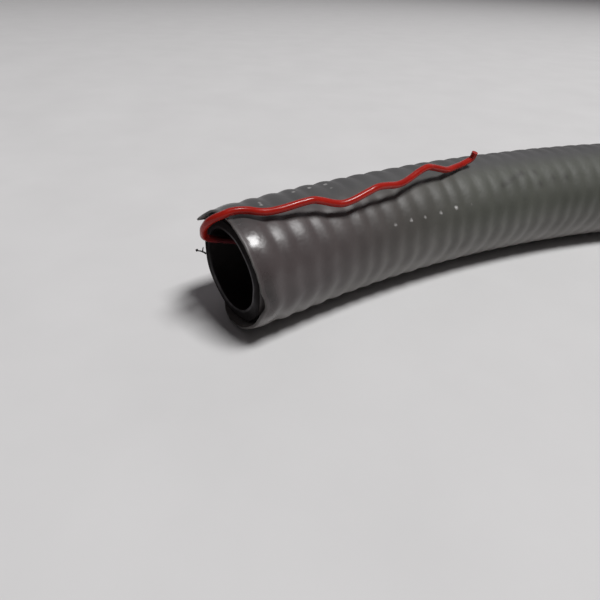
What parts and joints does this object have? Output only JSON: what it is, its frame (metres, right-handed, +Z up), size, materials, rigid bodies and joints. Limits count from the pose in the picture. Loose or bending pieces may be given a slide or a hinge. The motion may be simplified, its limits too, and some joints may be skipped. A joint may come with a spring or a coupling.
{
  "type": "flexible electrical conduit",
  "caption": "Short cut length of grey ribbed flexible electrical conduit in a gentle bend, with a black inner tube and a thin red wire coming out of its open end and lying back along the top.",
  "frame": {"origin": "middle of the conduit's outline in plan, on the floor it lies on", "axes": "+X from the open end towards the far end, +Y to the outside of the bend, +Z up"},
  "size_m": [0.2972, 0.0659, 0.0242],
  "materials": {
    "jacket": "satin grey flexible PVC, lightly scuffed",
    "inner_tube": "dull black, paler at the cut rim",
    "wire": "glossy red insulation"
  },
  "bodies": {
    "root": {"jacket": "jacket", "inner_tube": "inner_tube", "wire": "wire"}
  },
  "joints": []
}
